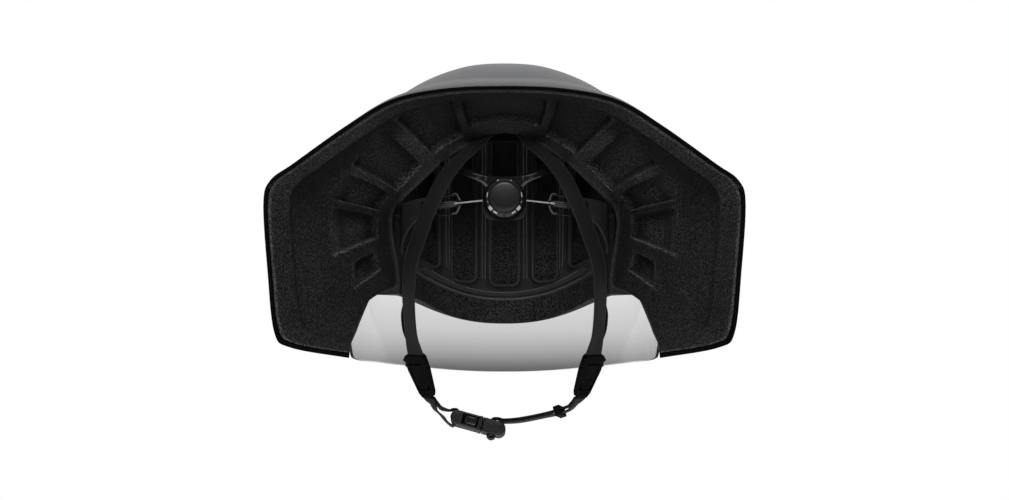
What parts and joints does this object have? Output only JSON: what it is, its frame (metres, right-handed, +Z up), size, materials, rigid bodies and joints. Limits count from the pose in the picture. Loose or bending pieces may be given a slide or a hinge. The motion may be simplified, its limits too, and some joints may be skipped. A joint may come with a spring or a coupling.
{
  "type": "aero helmet",
  "caption": "Aero cycling helmet with flared rear shell, foam funnel, held visor lens, dial fit cradle, strap dividers and side-release chin buckle.",
  "frame": {"origin": "middle of the head opening at the height of the brow rim, where the helmet sits on the head", "axes": "+X to the wearer's right, +Y forwards, +Z up"},
  "size_m": [0.32, 0.3219, 0.283],
  "materials": {
    "shell_gloss": "glossy dark grey paint with a black edge",
    "eps_foam": "black expanded bead foam, rough",
    "pad_fabric": "black brushed pad fabric with piping",
    "visor_lens": "grey graded lens, clear and glossy",
    "magnet_metal": "plated magnets",
    "black_plastic": "fine moulded texture",
    "gloss_plastic": "polished black",
    "dial_cap": "satin dark grey cap",
    "screw_steel": "plated steel",
    "lace": "light grey coated lace",
    "webbing": "flat woven webbing"
  },
  "bodies": {
    "helmet": {"outer_shell": "shell_gloss", "eps_liner": "eps_foam", "front_pad": "pad_fabric", "shell_magnets": "magnet_metal", "temple_rivets": "black_plastic", "yoke_anchors": "black_plastic", "rear_strap_anchor": "black_plastic", "front_strap_anchors": "black_plastic", "rear_strap_left": "webbing", "rear_strap_right": "webbing", "front_strap_left": "webbing", "front_strap_right": "webbing", "divider_left": "black_plastic", "divider_right": "black_plastic", "chin_web_left": "webbing", "chin_web_right": "webbing", "strap_keeper": "webbing", "buckle_socket": "black_plastic"},
    "visor": {"visor_lens": "visor_lens", "visor_magnets": "magnet_metal"},
    "cradle": {"yoke": "gloss_plastic", "dial_base": "gloss_plastic", "nape_pad": "pad_fabric", "band_left": "black_plastic", "band_right": "black_plastic", "lace_left": "lace", "lace_right": "lace"},
    "dial": {"dial_ring": "gloss_plastic", "dial_cap": "dial_cap", "dial_spool": "black_plastic", "dial_screw": "screw_steel"},
    "guide_left": {"lace_guide_left": "gloss_plastic"},
    "guide_right": {"lace_guide_right": "gloss_plastic"},
    "lever_left": {"divider_lever_left": "gloss_plastic"},
    "lever_right": {"divider_lever_right": "gloss_plastic"},
    "plug": {"buckle_plug": "black_plastic"},
    "prong_front_arm": {"prong_front": "gloss_plastic"},
    "prong_rear_arm": {"prong_rear": "gloss_plastic"}
  },
  "joints": [
    {"name": "visor_pull", "type": "slide", "parent": "helmet", "child": "visor", "axis": [0, 1, 0], "range_m": [0, 0.05]},
    {"name": "cradle_tilt", "type": "hinge", "parent": "helmet", "child": "cradle", "pos_m": [0, -0.045, 0.0543], "axis": [1, 0, 0], "range_deg": [-8, 7]},
    {"name": "dial_turn", "type": "hinge", "parent": "cradle", "child": "dial", "pos_m": [0, -0.108, 0.0534], "axis": [0, 1, 0], "range_deg": [-40, 90]},
    {"name": "guide_left_draw", "type": "slide", "parent": "cradle", "child": "guide_left", "axis": [0.866, -0.5, 0], "range_m": [-0.0036, 0.008], "deforming": ["lace_left"]},
    {"name": "guide_right_draw", "type": "slide", "parent": "cradle", "child": "guide_right", "axis": [-0.866, -0.5, 0], "range_m": [-0.0036, 0.008], "deforming": ["lace_right"]},
    {"name": "lever_left_open", "type": "hinge", "parent": "helmet", "child": "lever_left", "pos_m": [-0.06195, -0.03722, -0.05188], "axis": [-0.7812, 0.619, 0.0806], "range_deg": [0, 75]},
    {"name": "lever_right_open", "type": "hinge", "parent": "helmet", "child": "lever_right", "pos_m": [0.06195, -0.03722, -0.05188], "axis": [-0.7812, -0.619, -0.0806], "range_deg": [0, 75]},
    {"name": "plug_draw", "type": "slide", "parent": "helmet", "child": "plug", "axis": [0.9636, 0, -0.2672], "range_m": [0, 0.024], "deforming": ["chin_web_right", "prong_front", "prong_rear"]},
    {"name": "prong_front_squeeze", "type": "hinge", "parent": "plug", "child": "prong_front_arm", "pos_m": [-0.01676, 0.0016, -0.09048], "axis": [0.2672, 0, 0.9636], "range_deg": [0, 10], "stiffness_Nm_per_rad": 0.5},
    {"name": "prong_rear_squeeze", "type": "hinge", "parent": "plug", "child": "prong_rear_arm", "pos_m": [-0.01676, -0.0116, -0.09048], "axis": [-0.2672, 0, -0.9636], "range_deg": [0, 10], "stiffness_Nm_per_rad": 0.5}
  ],
  "couplings": [
    {"joint": "guide_left_draw", "follows": "dial_turn", "m_per_rad": 0.005},
    {"joint": "guide_right_draw", "follows": "dial_turn", "m_per_rad": 0.005}
  ]
}
